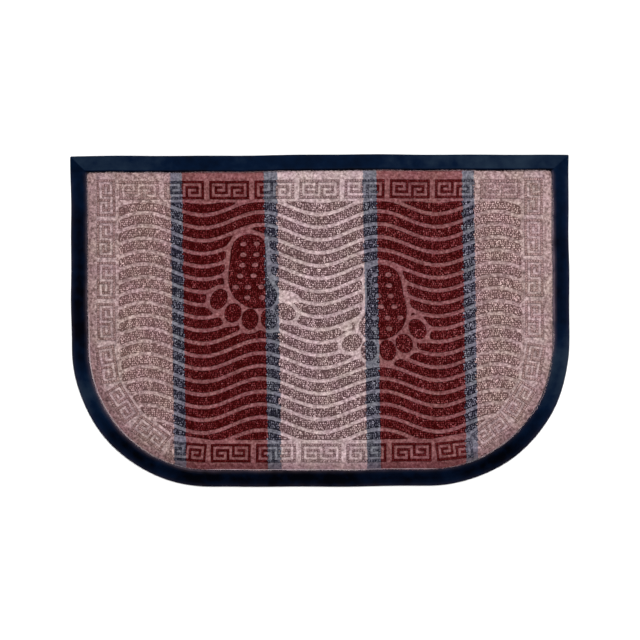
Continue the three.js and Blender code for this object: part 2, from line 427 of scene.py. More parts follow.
def stripe_group():
    """The mat's stripes on Object coordinates: the yarn's colours at each place."""
    group, place, outlet = make_group(
        "stripes", [(output, "NodeSocketColor") for output in STRIPE_OUTPUTS])
    turned = group.nodes.new("ShaderNodeMapping")
    turned.inputs["Rotation"].default_value = (0, 0, -STRIPE_LEAN)
    group.links.new(place, turned.inputs["Vector"])
    split = group.nodes.new("ShaderNodeSeparateXYZ")
    group.links.new(turned.outputs[0], split.inputs[0])
    ragged = spread(group, noise(group, place, scale=420), -STRIPE_RAGGED * MM, STRIPE_RAGGED * MM)
    across = math_node(group, "ADD", split.outputs["X"], ragged)
    across = map_range(group, across, -LENGTH / 2 * MM, LENGTH / 2 * MM)
    starts = [0.0] + [end / LENGTH + 0.5 for _, end in STRIPES[:-1]]
    for output, level in STRIPE_OUTPUTS.items():
        colours = [
            yarn_colour(yarn, level(YARNS[yarn]), YARNS[yarn]["pressed_cast"]) for yarn, _ in STRIPES]
        stripes = colour_ramp(group, across, list(zip(starts, colours)), "CONSTANT")
        group.links.new(stripes, outlet.inputs[output])
    return group


# Materials

WALL_FROM = PRESSED + 0.15
WALL_FULL = PILE_FOOT - 0.2
CLOUDS = 0.22
SMEARS = 0.13
HIGHLIGHT_AND_SCUFF_UNEVEN = (0.3, 1.3)
RUBBER_ROUGHNESS = (0.42, 0.6)


def pressed_carpet():
    """Carpet pressed flat: paler and smoother, with painted shadow on the walls up to the pile."""
    material, tree, shader = new_material("pressed_carpet")
    place = object_place(tree)
    stripes = use_group(tree, STRIPE_GROUP, place)
    fibre = use_group(tree, FIBRE_GROUP, place)
    height = tree.nodes.new("ShaderNodeSeparateXYZ")
    tree.links.new(place, height.inputs[0])
    rise = map_range(tree, height.outputs["Z"], WALL_FROM * MM, WALL_FULL * MM)
    walls = math_node(tree, "SUBTRACT", rise, attribute(tree, "loose"), clamp=True)
    colour = stripes.outputs["Pressed"]
    for fleck in ("Dark Fleck", "Light Fleck"):
        colour = mix_colours(tree, fibre.outputs[fleck + "s"], colour, stripes.outputs[fleck])
    # Painted shade where the light falls off towards the front, the round corners and the left
    colour = mix_colours(tree, attribute(tree, "falloff_shade"), colour, linear(FALLOFF_SHADE), "MULTIPLY")
    # Painted shadow on the walls and under the pile, in the colour of the gaps' shadow
    colour = mix_colours(tree, walls, colour, stripes.outputs["Gap Shadow"])
    # Painted shadow: the lip's shade, painted as the rubber's black along the carpet's back edge
    colour = mix_colours(tree, attribute(tree, "lip_shadow"), colour, linear(RUBBER))
    colour = mix_colours(tree, attribute(tree, "pale"), colour, linear(CUT_EDGE))
    colour = mix_colours(tree, 1.0, colour, fibre.outputs["Shade"], "MULTIPLY")
    tree.links.new(colour, shader.inputs["Base Color"])
    shader.inputs["Roughness"].default_value = 0.9
    shader.inputs["Specular IOR Level"].default_value = 0.05
    add_bump(tree, fibre.outputs["Height"], distance=0.4, strength=0.7)
    return material


def pile_yarn(yarn):
    """Looped yarn: each loop has its own tone, with finer flecks of fibre within it."""
    material, tree, shader = new_material(f"{yarn}_pile")
    fibre = use_group(tree, FIBRE_GROUP, object_place(tree))
    tones = [yarn_colour(yarn, level) for level in YARNS[yarn]["loops"]]
    colour = colour_ramp(tree, attribute(tree, "tone"), list(zip(TONE_PLACES, tones)))
    colour = mix_colours(tree, 1.0, colour, fibre.outputs["Shade"], "MULTIPLY")
    tree.links.new(colour, shader.inputs["Base Color"])
    shader.inputs["Roughness"].default_value = 0.85
    shader.inputs["Specular IOR Level"].default_value = 0.05
    add_bump(tree, fibre.outputs["Height"], distance=0.3, strength=0.6)
    return material


def moulded_rubber():
    """Black rubber with a navy cast: mould grain, a painted sheen made cloudy and smeared, and a
    painted highlight on the lip with a little scuff at the foot.
    """
    material, tree, shader = new_material("moulded_rubber")
    place = object_place(tree)
    clouds = spread(tree, noise(tree, place, scale=14, detail=5, roughness=0.62), -CLOUDS, CLOUDS)
    smears = spread(tree, noise(tree, place, scale=85, detail=3, roughness=0.6), -SMEARS, SMEARS)
    # Painted sheen where the rim's slopes catch the light, made patchy by random clouds and smears
    painted_sheen = math_node(tree, "ADD", attribute(tree, "painted_sheen"), clouds)
    painted_sheen = math_node(tree, "ADD", painted_sheen, smears, clamp=True)
    # Painted highlight where the lip's rounded edge catches the light, with a little scuff at the foot
    uneven = spread(tree, noise(tree, place, scale=60, detail=4, roughness=0.6), *HIGHLIGHT_AND_SCUFF_UNEVEN)
    lip_highlight_and_scuff = math_node(tree, "MULTIPLY", attribute(tree, "lip_highlight_and_scuff"), uneven, clamp=True)
    stops = [(0.0, linear(RUBBER)), (0.5, linear(RUBBER_NAVY)), (1.0, linear(RUBBER_SHEEN))]
    colour = mix_colours(tree, lip_highlight_and_scuff, colour_ramp(tree, painted_sheen, stops), linear(LIP_HIGHLIGHT_AND_SCUFF))
    tree.links.new(colour, shader.inputs["Base Color"])
    tree.links.new(spread(tree, painted_sheen, *RUBBER_ROUGHNESS), shader.inputs["Roughness"])
    shader.inputs["Specular IOR Level"].default_value = 0.01
    grain = noise(tree, place, scale=1400, roughness=0.6)
    add_bump(tree, grain, distance=0.1, strength=0.35)
    return material


# Outlines and meshes

def mat_outline(inset, corner):
    """Points in mm round the outline drawn in by inset, counterclockwise, always equal in number."""
    square_x = LENGTH / 2 - inset - corner
    square_y = WIDTH / 2 - inset - corner
    round_radius = ROUND_RADIUS - inset
    turns = [
        (ROUND_X, ROUND_Y, round_radius, -90, ROUND_STEPS),
        (square_x, square_y, corner, 0, SQUARE_STEPS),
        (-square_x, square_y, corner, 90, SQUARE_STEPS),
        (-ROUND_X, ROUND_Y, round_radius, 180, ROUND_STEPS),
    ]
    bends = []
    for x, y, radius, start, steps in turns:
        angles = [radians(start + 90 * i / steps) for i in range(steps + 1)]
        bends.append([(x + radius * cos(angle), y + radius * sin(angle)) for angle in angles])
    points = []
    for bend, later in zip(bends, bends[1:] + bends[:1]):
        (ax, ay), (bx, by) = bend[-1], later[0]
        between = [i / EDGE_STEPS for i in range(1, EDGE_STEPS)]
        points += bend + [(ax + (bx - ax) * t, ay + (by - ay) * t) for t in between]
    return points


def edge_inset(x, y):
    """Distance in mm from the sides, the round corners and the front, the straight edge left out."""
    corner_x = np.clip(np.abs(x) - ROUND_X, 0, None)
    corner_y = np.clip(ROUND_Y - y, 0, None)
    from_corner = ROUND_RADIUS - np.hypot(corner_x, corner_y)
    return np.where(y < ROUND_Y, from_corner, LENGTH / 2 - np.abs(x))


def mesh_places(mesh):
    """The mesh's corners in mm, as rows of x, y and z."""
    place = np.empty(len(mesh.vertices) * 3, np.float32)
    mesh.vertices.foreach_get("co", place)
    return place.reshape(-1, 3).T / MM


def mark(mesh, name, values):
    """Gives each corner of the mesh a value that its material reads by name."""
    marks = mesh.attributes.new(name, "FLOAT", "POINT").data
    marks.foreach_set("value", values.astype(np.float32))


def add_ring(bm, points, z):
    """A closed ring of edges in bm, from points in mm."""
    corners = [bm.verts.new((x * MM, y * MM, z * MM)) for x, y in points]
    return [bm.edges.new((a, b)) for a, b in zip(corners, corners[1:] + corners[:1])]


def new_piece(name, mesh, material):
    mesh.shade_smooth()
    mesh.materials.append(material)
    piece = bpy.data.objects.new(name, mesh)
    bpy.context.collection.objects.link(piece)
    return piece


def piece_from(name, bm, material):
    """A piece from a finished bmesh, which is freed."""
    bmesh.ops.recalc_face_normals(bm, faces=bm.faces)
    mesh = bpy.data.meshes.new(name)
    bm.to_mesh(mesh)
    bm.free()
    return new_piece(name, mesh, material)


# How the mat lies: a little out of true, as it was cut and as it lies in the photograph

# A wave is its height and the length that it runs in a radian, in mm, and its start in radians.
# The ripples' starts drift along the other axis.
DROOP = 2.4
DROOP_OUT = 0.5
DROOP_FROM = (40.0, -60.0)
SIDE_WAVE = (0.35, 31.0, 0.6)
FRONT_WAVE = (0.35, 43.0, 1.1)
SIDE_RIPPLE = (0.25, 13.0)
SIDE_DRIFT = 90.0
FRONT_RIPPLE = (0.22, 17.0)
FRONT_DRIFT = -70.0
BACK_BOW = 0.9
BACK_BOW_Y = 180.0
BACK_BOW_REACH = 12.0
BACK_BOW_X = (-100.0, 20.0)


def wave(along, height, run, start):
    return height * np.sin(along / run + start)


def lie(x, y):
    """Moves places in mm on the mat: one back corner droops, the edges run slightly wavy, and the
    carpet's straight edge bows outwards on the right."""
    droop = fade(x, DROOP_FROM[0], LENGTH / 2) ** 2 * fade(y, DROOP_FROM[1], WIDTH / 2)
    bow = BACK_BOW * bell(y, BACK_BOW_Y, BACK_BOW_REACH) * fade(x, *BACK_BOW_X)
    wave_x = wave(y, *SIDE_WAVE) * x / (LENGTH / 2) + wave(y, *SIDE_RIPPLE, x / SIDE_DRIFT)
    wave_y = wave(x, *FRONT_WAVE) * y / (WIDTH / 2) + wave(x, *FRONT_RIPPLE, y / FRONT_DRIFT)
    return x + wave_x + DROOP_OUT * droop, y + wave_y + bow - DROOP * droop


def lay(mesh):
    x, y, z = mesh_places(mesh)
    x, y = lie(x, y)
    mesh.vertices.foreach_set("co", (np.stack([x, y, z], 1) * MM).ravel())
    mesh.update()


# Rubber tray

# Section of the rim, up its outside, over the lip and down to the sheet: inset and height
RIM_SECTION = [
    (0.5, 0.0), (0.1, 0.25), (0.0, 1.1), (0.15, 1.45), (0.7, 1.7), (4.5, 2.3), (9.5, 3.05),
    (14.5, 3.8), (16.9, 4.1), (17.5, 4.3), (17.9, 4.75), (18.4, 5.0), (19.3, 5.0), (19.8, 4.85),
    (20.1, 4.4), (20.3, 3.8), (RIM_WIDTH, SHEET_TOP),
]
EDGE_ROUND = 1.6
LIP_FOOT = 17.0

# Painted highlight where the lip's rounded edge catches the light: the insets where it starts and
# where it is full, its share from 0 to 1 at the left, and along the right by y. It leaves out the
# straight edge, and the rim's outer foot is scuffed.
LIP_HIGHLIGHT_FROM = 15.6
LIP_HIGHLIGHT_FULL = 18.6
LIP_HIGHLIGHT_LEFT = 0.34
LIP_HIGHLIGHT_RIGHT_Y = (-50, 0, 120, 160)
LIP_HIGHLIGHT_RIGHT = (0.1, 0.9, 0.95, 0.35)
HIGHLIGHT_AND_SCUFF_BACK = (WIDTH / 2 - RIM_WIDTH + 1, WIDTH / 2 - RIM_WIDTH - 3)
SCUFF_WIDTH = 5.0
SCUFFED = 0.09

# Painted sheen, the light that the rim's slopes catch painted into its colour: shares from 0 to 1
# along each side by y and along the straight edge by x, and what is added by the lip, in the
# middle of each round corner and at the outer foot of the rim. A pair of insets is where it starts
# and where it is full. The straight edge meets the sides at a mitre, with a blend of MITRE_BLEND
# on either hand.
SHEEN_SIDE_Y = (-180, -100, 40, 90, 130, 170)
SHEEN_LEFT = (0.0, 0.03, 0.03, 0.13, 0.18, 0.18)
SHEEN_RIGHT = (0.0, 0.18, 0.2, 0.2, 0.24, 0.48)
SHEEN_STRAIGHT_X = (-240, -150, 60, 210)
SHEEN_STRAIGHT = (0.72, 0.42, 0.42, 0.8)
SHEEN_STRAIGHT_INSETS = (19.0, 17.0)
SHEEN_BY_LIP = 0.12
SHEEN_LIP_INSETS = (12.5, 15.5)
SHEEN_CORNERS = 0.56
SHEEN_CORNER_LEFT = -90.0
SHEEN_CORNER_RIGHT = -58.0
SHEEN_CORNER_REACH = 42.0
SHEEN_AT_FOOT = 0.2
SHEEN_FOOT_INSETS = (7.0, 3.0)
MITRE_BLEND = 0.5


def painted_sheen_share(x, y):
    """How much painted sheen, the light that the slopes catch, lies on the rim, from 0 to 1: most at
    the straight edge's right.
    """
    inset = edge_inset(x, y)
    from_straight = WIDTH / 2 - y
    straight = np.interp(x, SHEEN_STRAIGHT_X, SHEEN_STRAIGHT)
    straight *= fade(from_straight, *SHEEN_STRAIGHT_INSETS)
    left = np.interp(y, SHEEN_SIDE_Y, SHEEN_LEFT)
    right = np.interp(y, SHEEN_SIDE_Y, SHEEN_RIGHT)
    others = np.where(x > 0, right, left)
    others += SHEEN_BY_LIP * fade(inset, *SHEEN_LIP_INSETS)
    middle = np.where(x > 0, SHEEN_CORNER_RIGHT, SHEEN_CORNER_LEFT)
    others += SHEEN_CORNERS * bell(y, middle, SHEEN_CORNER_REACH)
    others += SHEEN_AT_FOOT * fade(inset, *SHEEN_FOOT_INSETS)
    at_straight = fade(inset - from_straight, -MITRE_BLEND, MITRE_BLEND)
    return at_straight * straight + (1 - at_straight) * others


def lip_highlight_and_scuff_share(x, y):
    """How much painted highlight the rim has, from 0 to 1: most on the lip at the right, a little
    at its scuffed foot.
    """
    inset = edge_inset(x, y)
    to_right = fade(x, -LENGTH / 4, LENGTH / 4)
    side = LIP_HIGHLIGHT_LEFT + (np.interp(y, LIP_HIGHLIGHT_RIGHT_Y, LIP_HIGHLIGHT_RIGHT) - LIP_HIGHLIGHT_LEFT) * to_right
    lip = side * fade(inset, LIP_HIGHLIGHT_FROM, LIP_HIGHLIGHT_FULL) ** 2
    scuffed = SCUFFED * fade(inset, SCUFF_WIDTH, 0)
    return (lip + scuffed) * fade(y, *HIGHLIGHT_AND_SCUFF_BACK)


def add_rubber_tray(material):
    bm = bmesh.new()
    rings = []
    for inset, z in RIM_SECTION:
        inner = max(0.0, (inset - LIP_FOOT) / (RIM_WIDTH - LIP_FOOT))
        corner = EDGE_ROUND + (CARPET_CORNER - EDGE_ROUND) * inner
        rings.append(add_ring(bm, mat_outline(inset, corner), z))
    for lower, upper in zip(rings, rings[1:]):
        bmesh.ops.bridge_loops(bm, edges=lower + upper)
    for ring in (rings[0], rings[-1]):
        bmesh.ops.contextual_create(bm, geom=ring)
    tray = piece_from("rubber_tray_moulding", bm, material)
    x, y, _ = mesh_places(tray.data)
    # Painted highlight on the lip's rounded edge, with a little scuff at the rim's foot
    mark(tray.data, "lip_highlight_and_scuff", lip_highlight_and_scuff_share(x, y))
    # Painted sheen: the light that the rim's slopes catch, painted into its colour
    mark(tray.data, "painted_sheen", painted_sheen_share(x, y))
    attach(tray, "root")
    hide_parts("rubber_tray")
    return tray


# What is raised and what is pressed: signed depths in mm, positive inside

FAR_OUTSIDE = -99.0
TINY = 1e-6
RIB_END_ROUND = 5.0
RIB_END_REACH = 0.5
FIELD_EDGE_ROUND = 3.0


def loop_depth(x, y, loop):
    """Depth inside a closed loop of points."""
    points = np.stack([x, y], -1)[:, None]
    start = np.array(loop)
    end = np.roll(start, -1, 0)
    along = end - start
    share = ((points - start) * along).sum(-1) / (along * along).sum(-1)
    nearest = start + along * share.clip(0, 1)[..., None]
    distance = np.linalg.norm(points - nearest, axis=-1).min(1)
    above = (start[:, 1] > points[..., 1]) != (end[:, 1] > points[..., 1])
    rise = np.where(along[:, 1] == 0, 1, along[:, 1])
    crossing = start[:, 0] + (points[..., 1] - start[:, 1]) * along[:, 0] / rise
    inside = (above & (points[..., 0] < crossing)).sum(1) % 2 == 1
    return np.where(inside, distance, -distance)


def ellipse_depth(x, y, centre, radii, turn):
    """Depth inside an ellipse, measured along the ray from its centre."""
    c, s = cos(radians(turn)), sin(radians(turn))
    dx, dy = x - centre[0], y - centre[1]
    u, v = dx * c + dy * s, dy * c - dx * s
    size = np.sqrt((u / radii[0]) ** 2 + (v / radii[1]) ** 2) + TINY
    return np.hypot(u, v) * (1 / size - 1)


def smooth_loop(points, steps=5):
    """A closed smooth curve through the points, in steps from each one to the next."""
    p = np.array(points, float)
    before, after, later = np.roll(p, 1, 0), np.roll(p, -1, 0), np.roll(p, -2, 0)
    slope = after - before
    bend = 2 * before - 5 * p + 4 * after - later
    twist = 3 * p - before - 3 * after + later
    spots = [0.5 * (2 * p + slope * t + bend * t**2 + twist * t**3) for t in np.arange(steps) / steps]
    return np.stack(spots, 1).reshape(-1, 2)


SOLE_LOOP = smooth_loop(SOLE)


def foot_depths(x, y, centre, side, lean):
    """Depth inside one footprint's raised forms, and inside the pressed band that clears them."""
    v = y - centre[1]
    u = (x - centre[0]) * side - lean * (v - LEAN_FROM)
    near = (np.abs(u) < FOOT_REACH[0]) & (np.abs(v) < FOOT_REACH[1])
    sole, toes, dots = (np.full(x.shape, FAR_OUTSIDE) for _ in range(3))
    sole[near] = loop_depth(u[near], v[near], SOLE_LOOP)
    for at, radii, turn in TOES:
        toes[near] = np.maximum(toes[near], ellipse_depth(u[near], v[near], at, radii, turn))
    for at in DOTS:
        dots[near] = np.maximum(dots[near], ellipse_depth(u[near], v[near], at, DOT_RADII, 0))
    bare = ellipse_depth(u, v, BARE_AT, BARE_RADII[side], BARE_TURN)
    raised = np.maximum(np.minimum(sole, -dots), toes + TOE_SPREAD)
    return raised, np.maximum(np.maximum(sole, toes) + SURROUND, bare)


def field_outline():
    """The wave field's outline: straight but for its two cut corners at the front."""
    right = [(FIELD_HALF, FIELD_TOP)]
    for i in range(SIDE_UNITS):
        angle = radians(-(CORNER_FIRST + CORNER_PITCH * (i - 0.5)))
        x = ROUND_X + FIELD_CORNER_RADIUS * cos(angle)
        right.append((min(FIELD_HALF, x), ROUND_Y + FIELD_CORNER_RADIUS * sin(angle)))
    right.append((ROUND_X, FIELD_BOTTOM))
    return right + [(-x, y) for x, y in reversed(right)]


def soft_min(first, second, reach):
    """The smaller of two depths, rounded where they are within reach of each other."""
    share = np.clip(0.5 + 0.5 * (second - first) / reach, 0, 1)
    return second * (1 - share) + first * share - reach * share * (1 - share)


def raised_depth(x, y):
    """Depth inside the raised pile of the waves and the footprints."""
    swing = tau * x / WAVE_LENGTH
    count = (WAVE_BASE - WAVE_HEIGHT * np.cos(swing) - y) / WAVE_PITCH
    slope = WAVE_HEIGHT * tau / WAVE_LENGTH * np.sin(swing)
    rib = np.abs(count - np.round(count)) * WAVE_PITCH - CHANNEL / 2
    rib = rib / np.sqrt(1 + slope**2)
    depth = soft_min(rib, loop_depth(x, y, field_outline()), FIELD_EDGE_ROUND)
    for centre, side, lean in ((LEFT_FOOT, 1, 0.0), (RIGHT_FOOT, -1, RIGHT_LEAN)):
        print_depth, clearing = foot_depths(x, y, centre, side, lean)
        ends = soft_min(depth, RIB_END_REACH - clearing, RIB_END_ROUND)
        depth = np.maximum(ends, print_depth)
    return depth


# Carpet sheet

# Rows of its grid: a few close ones at the front edge, even ones, and those round the back corners
GRID_STEP = 1.5
FRONT_ROWS = (0.0, 0.12, 0.45, 0.95)
FIRST_EVEN_ROW = 1.6
CORNER_ROWS = 6

# The slope between pressed and raised, the roughness of both, and the edge tucked under the lip,
# which is painted the rubber's black as the lip's painted shadow
SOFT_EDGE = 1.0
SHEET_UNEVEN = 0.035
TUCK = 0.15
TUCK_DEPTH = 0.8

# Painted shade where the light falls off: a pair is where it starts and where it is full
FALLOFF_INSETS = (36.0, 25.0)
FALLOFF_FRONT_Y = (0.0, -160.0)
FALLOFF_LEFT_X = (0.0, -240.0)
FALLOFF_LEFT = 0.6
FALLOFF_BACK = 0.32
FALLOFF_BACK_X = (-150.0, -190.0)
FALLOFF_BACK_Y = (167.0, 171.0)

# How pale the cut edge is at the left and right of the front: where it starts, least and most
EDGE_WITHIN = 0.2
EDGE_ABOVE = CARPET_BOTTOM + 0.5
EDGE_PALE_RUN = 60.0
EDGE_PALE_LEFT = (30.0, 0.15, 0.9)
EDGE_PALE_RIGHT = (-110.0, 0.1, 0.7)

# The key border at the sides, whose pressed lines are a little pale: beyond this x, between
# these insets
KEY_SIDES_FROM = 187.0
KEY_BAND = (31.0, 54.0)
KEY_PALE = 0.09


def half_width(y, inset):
    """Half the carpet's length at a place y on the mat, its outline drawn in by inset."""
    radius = ROUND_RADIUS - inset
    drop = np.clip(ROUND_Y - y, 0, radius)
    curved = ROUND_X + np.sqrt(radius**2 - drop**2)
    corner_y = WIDTH / 2 - inset - CARPET_CORNER
    over = np.clip(y - corner_y, 0, CARPET_CORNER)
    squared = curved - CARPET_CORNER + np.sqrt(CARPET_CORNER**2 - over**2)
    return np.where(y > corner_y, squared, curved)


def add_carpet_sheet(material):
    """One sheet: a grid stretched to the outline, its pile standing above the pressed lines."""
    low, high = -WIDTH / 2 + CARPET_INSET, WIDTH / 2 - CARPET_INSET
    rows = np.concatenate([
        low + GRID_STEP * np.array(FRONT_ROWS),
        np.arange(low + GRID_STEP * FIRST_EVEN_ROW, high - CARPET_CORNER, GRID_STEP),
        high - CARPET_CORNER + CARPET_CORNER * np.sin(np.linspace(0, pi / 2, CORNER_ROWS)),
    ])
    columns = int(2 * (LENGTH / 2 - CARPET_INSET) / GRID_STEP)
    bm = bmesh.new()
    bmesh.ops.create_grid(bm, x_segments=columns, y_segments=len(rows) - 1, size=1)
    bm.verts.ensure_lookup_table()
    spot = np.array([v.co for v in bm.verts])
    row = np.rint((spot[:, 1] + 1) / 2 * (len(rows) - 1)).astype(int)
    y = rows[row]
    x = spot[:, 0] * half_width(y, CARPET_INSET)
    rise = fade(raised_depth(x, y), -SOFT_EDGE, SOFT_EDGE)
    rise = rise * rise * (3 - 2 * rise)
    z = PRESSED + (PILE_FOOT - PRESSED) * rise + rng.normal(0, SHEET_UNEVEN, len(x))
    z -= np.where(y > high - TUCK, TUCK_DEPTH, 0)
    for vert, place in zip(bm.verts, np.stack([x, y, z], 1) * MM):
        vert.co = place
    rim = [e for e in bm.edges if e.is_boundary]
    skirt = bmesh.ops.extrude_edge_only(bm, edges=rim)["geom"]
    for vert in (g for g in skirt if isinstance(g, bmesh.types.BMVert)):
        vert.co.z = CARPET_BOTTOM * MM
    bmesh.ops.contextual_create(bm, geom=[e for e in bm.edges if e.is_boundary])
    sheet = piece_from("carpet_sheet", bm, material)
    mark_sheet(sheet.data)
    return sheet


def falloff_shade_share(x, y):
    """How far painted shade darkens the border, from 0 to 1: most at the front and the round
    corners, less up the left side and at its back end."""
    outer = fade(edge_inset(x, y), *FALLOFF_INSETS)
    round_it = np.clip(fade(y, *FALLOFF_FRONT_Y) + FALLOFF_LEFT * fade(x, *FALLOFF_LEFT_X), 0, 1)
    back = FALLOFF_BACK * fade(y, *FALLOFF_BACK_Y) * fade(x, *FALLOFF_BACK_X)
    return np.maximum(outer * round_it, back)


def pale_share(x, y, z):
    """How pale the carpet is, from 0 to 1: at its cut edge, and a little in the side keys' lines."""
    at_side = np.abs(x) > half_width(y, CARPET_INSET) - EDGE_WITHIN
    at_front = y < -WIDTH / 2 + CARPET_INSET + EDGE_WITHIN
    shares = []
    for start, least, most in (EDGE_PALE_LEFT, EDGE_PALE_RIGHT):
        shares.append(np.clip((start - y) / EDGE_PALE_RUN, least, most))
    cut_edge = np.where(x < 0, *shares)
    inset = edge_inset(x, y)
    in_keys = (np.abs(x) > KEY_SIDES_FROM) & (inset > KEY_BAND[0]) & (inset < KEY_BAND[1])
    return np.where((at_side | at_front) & (z > EDGE_ABOVE), cut_edge, KEY_PALE * in_keys)


def mark_sheet(mesh):
    """Marks the sheet's painted shade where the light falls off, where it is pale, and the lip's
    painted shadow on its tucked edge.
    """
    x, y, z = mesh_places(mesh)
    # Painted shade where the light falls off
    mark(mesh, "falloff_shade", falloff_shade_share(x, y))
    mark(mesh, "pale", pale_share(x, y, z))
    # Painted shadow of the lip: the carpet's back edge under it takes the rubber's black
    mark(mesh, "lip_shadow", y > WIDTH / 2 - CARPET_INSET - TUCK)


# Copies of one small shape, joined into a single mesh

def template(bm):
    """The corners and triangles of a small bmesh shape, as arrays. The shape is freed."""
    bmesh.ops.triangulate(bm, faces=bm.faces)
    bm.verts.index_update()
    corners = np.array([v.co for v in bm.verts])
    faces = np.array([[v.index for v in f.verts] for f in bm.faces])
    bm.free()
    return corners, faces


def joined_copies(name, shape, places, turns, sizes, material):
    """A piece of copies of shape: places in mm, turns about Z in radians, sizes along each axis."""
    corners, faces = shape
    c, s = np.cos(turns)[:, None], np.sin(turns)[:, None]
    local = corners[None] * sizes[:, None]
    x = local[..., 0] * c - local[..., 1] * s
    y = local[..., 0] * s + local[..., 1] * c
    spots = (np.stack([x, y, local[..., 2]], -1) + places[:, None]) * MM
    loops = (faces[None] + np.arange(len(places))[:, None, None] * len(corners)).reshape(-1, 3)
    mesh = bpy.data.meshes.new(name)
    mesh.vertices.add(spots.shape[0] * spots.shape[1])
    mesh.vertices.foreach_set("co", spots.astype(np.float32).ravel())
    mesh.loops.add(loops.size)
    mesh.loops.foreach_set("vertex_index", loops.astype(np.int32).ravel())
    mesh.polygons.add(len(loops))
    mesh.polygons.foreach_set("loop_start", np.arange(0, loops.size, 3, dtype=np.int32))
    mesh.update(calc_edges=True)
    return new_piece(name, mesh, material)


# Key border

# The blocks' bevel and tolerance are shares of a cell, the least fold that is bevelled is in
# radians, and how deep the blocks stand in the sheet is in mm
KEY_ROUND = 0.16
KEY_NEARLY = 0.01
KEY_FOLD = 0.5
BLOCK_SINK = 0.3


def key_places():
    """Centre, turn in radians, cell length and mirror of every unit. The last one at each round
    corner is turned back until it lies nearly level."""
    units = [(i * ROW_PITCH, TOP_ROW_Y, 0.0, CELL, 1) for i in range(-4, 5)]
    units += [(i * ROW_PITCH, BOTTOM_ROW_Y, 0.0, CELL, -1) for i in range(-2, 3)]
    for side in (-1, 1):
        for i in range(SIDE_UNITS):
            y = COLUMN_TOP_Y - COLUMN_PITCH * i
            units.append((side * COLUMN_X, y, side * -pi / 2, SHORT_CELL, 1))
        for i in range(SIDE_UNITS):
            angle = radians(CORNER_FIRST + CORNER_PITCH * i)
            x = side * (ROUND_X + CORNER_RADIUS * cos(angle))
            y = ROUND_Y - CORNER_RADIUS * sin(angle)
            if i == SIDE_UNITS - 1:
                y -= FRONT_CORNER_DROP
                angle = radians(FRONT_CORNER_TURN)
            units.append((x, y, side * (-pi / 2 - angle), SHORT_CELL, 1))
    return units


def line_cells():
    """The cells that the pressed line of a unit runs through."""
    cells = set()
    for (ca, ra), (cb, rb) in zip(KEY_LINE, KEY_LINE[1:]):
        for column in range(min(ca, cb), max(ca, cb) + 1):
            cells.update((column, row) for row in range(min(ra, rb), max(ra, rb) + 1))
    return cells


def key_block():
    """One unit, a cell to a mm: its raised cells drawn up from the sheet and rounded over."""
    pressed_cells = line_cells()
    bm = bmesh.new()
    bmesh.ops.create_grid(bm, x_segments=UNIT_COLUMNS, y_segments=UNIT_ROWS, size=0.5)
    bmesh.ops.scale(bm, verts=bm.verts, vec=(UNIT_COLUMNS, UNIT_ROWS, 1))
    gone = []
    for face in bm.faces:
        spot = face.calc_center_median()
        cell = (int(spot.x + UNIT_COLUMNS / 2), int(UNIT_ROWS / 2 - spot.y))
        if cell in pressed_cells:
            gone.append(face)
    bmesh.ops.delete(bm, geom=gone, context="FACES")
    drawn = bmesh.ops.extrude_face_region(bm, geom=bm.faces[:])["geom"]
    top = [g for g in drawn if isinstance(g, bmesh.types.BMVert)]
    bmesh.ops.translate(bm, verts=top, vec=(0, 0, 1))
    under = [f for f in bm.faces if f.calc_center_median().z < KEY_NEARLY]
    bmesh.ops.delete(bm, geom=under, context="FACES_ONLY")
    at_top = [e for e in bm.edges if min(v.co.z for v in e.verts) > 1 - KEY_NEARLY]
    folds = [e for e in at_top if e.calc_face_angle(0) > KEY_FOLD]
    bmesh.ops.bevel(
        bm, geom=folds, offset=KEY_ROUND, segments=2, profile=0.5, affect="EDGES", material=-1)
    bmesh.ops.recalc_face_normals(bm, faces=bm.faces)
    return template(bm)


def add_key_blocks(material):
    """The raised blocks of the key border, those of the mirrored front row as a second piece."""
    units = key_places()
    places = np.array([(x, y, PRESSED - BLOCK_SINK) for x, y, *_ in units])
    turns = np.array([turn for _, _, turn, _, _ in units])
    height = PILE_FOOT - PRESSED + BLOCK_SINK
    sizes = np.array([(cell, CELL, height) for *_, cell, _ in units])
    upright = np.array([mirror > 0 for *_, mirror in units])
    corners, faces = key_block()
    mirrored = (corners * (1, -1, 1), faces[:, ::-1])
    pieces = []
    for name, chosen, shape in (
        ("key_border_blocks", upright, (corners, faces)),
        ("key_border_front_blocks", ~upright, mirrored),
    ):
        pieces.append(
            joined_copies(name, shape, places[chosen], turns[chosen], sizes[chosen], material))
    return pieces


# Pile loops

# Loops on the waves and footprints: pitch and unevenness along the row and across, half sizes,
# and how far inside the raised pile they start. Every loop bends and varies in size, and its top
# may sink a little under the others.
LOOP_PITCH = (2.5, 2.2)
LOOP_JITTER = (0.5, 0.26)
LOOP_SIZE = (1.36, 1.04, 1.35)
LOOP_MARGIN = 0.6
LOOP_BEND = 0.25
LOOP_VARIES = 0.08
LOOP_RANGE = (0.8, 1.2)
LOOP_SINK = 0.6

# Loops on the key border: their two spots across a cell as shares of it, half sizes, unevenness
KEY_LOOP_SPOTS = (0.29, 0.71)
KEY_LOOP_SIZE = (0.84, 0.72, 1.2)
KEY_LOOP_JITTER = 0.14

# Tones from 0 dark to 1 light: the middle one, how far single loops and clumps of them spread,
# how calm the key border is, and painted light and shade: lighter towards the right, darker
# where the light falls off
LOOP_MIDDLE = 0.45
LOOP_SPREAD = 0.5
CLUMP_SPREAD = 1.0
CLUMP_PITCH = 2.9
KEY_CALM = 0.65
RIGHT_LIGHTER = 0.12
RIGHT_REACH = 200.0
LEFT_LEAST = -0.7
FALLOFF_DARKER = 0.14

# How far a loop strays over the line between two stripes
STRAY = 0.5


